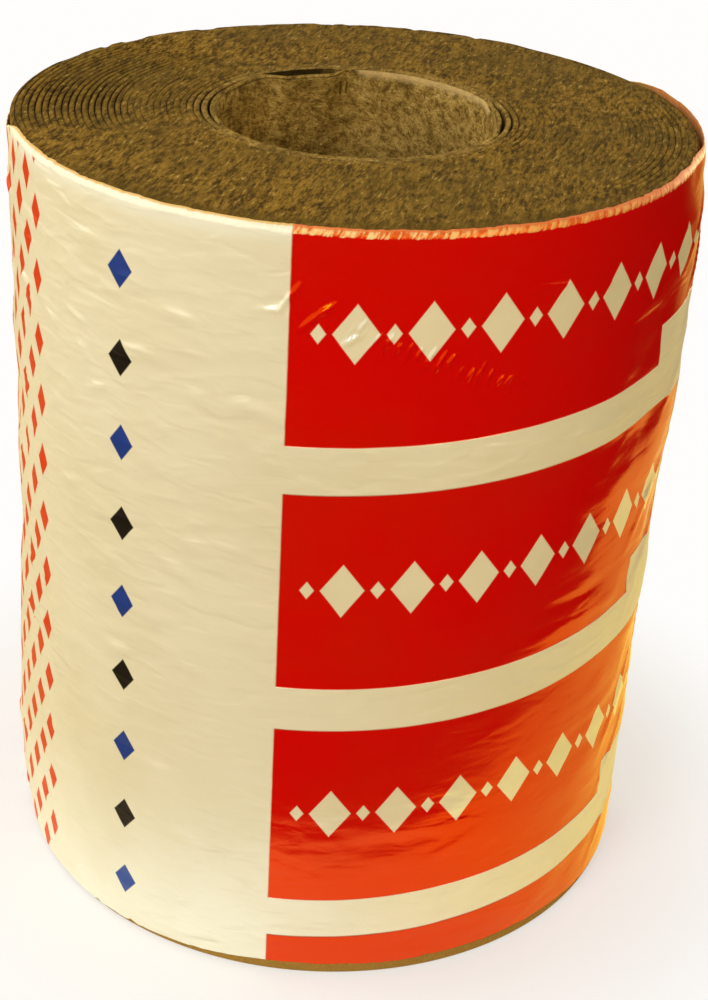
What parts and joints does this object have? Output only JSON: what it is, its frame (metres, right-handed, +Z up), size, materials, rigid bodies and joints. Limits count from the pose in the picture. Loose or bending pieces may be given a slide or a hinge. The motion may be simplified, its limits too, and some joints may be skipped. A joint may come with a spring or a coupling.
{
  "type": "roll of foundation membrane",
  "caption": "Standing roll of bituminous foundation membrane, wound tightly round an open bore and sleeved in a thin printed film that is tucked over the upper rim.",
  "frame": {"origin": "middle of the lower end, on the floor that the roll stands on", "axes": "+Z up along the axis of the roll; -Y towards the side where the print changes from the pale column to the red panels"},
  "size_m": [0.2806, 0.2809, 0.333],
  "materials": {
    "membrane": "matte",
    "film": "gloss"
  },
  "bodies": {
    "root": {"membrane_roll": "membrane", "wrapper": "film"}
  },
  "joints": []
}
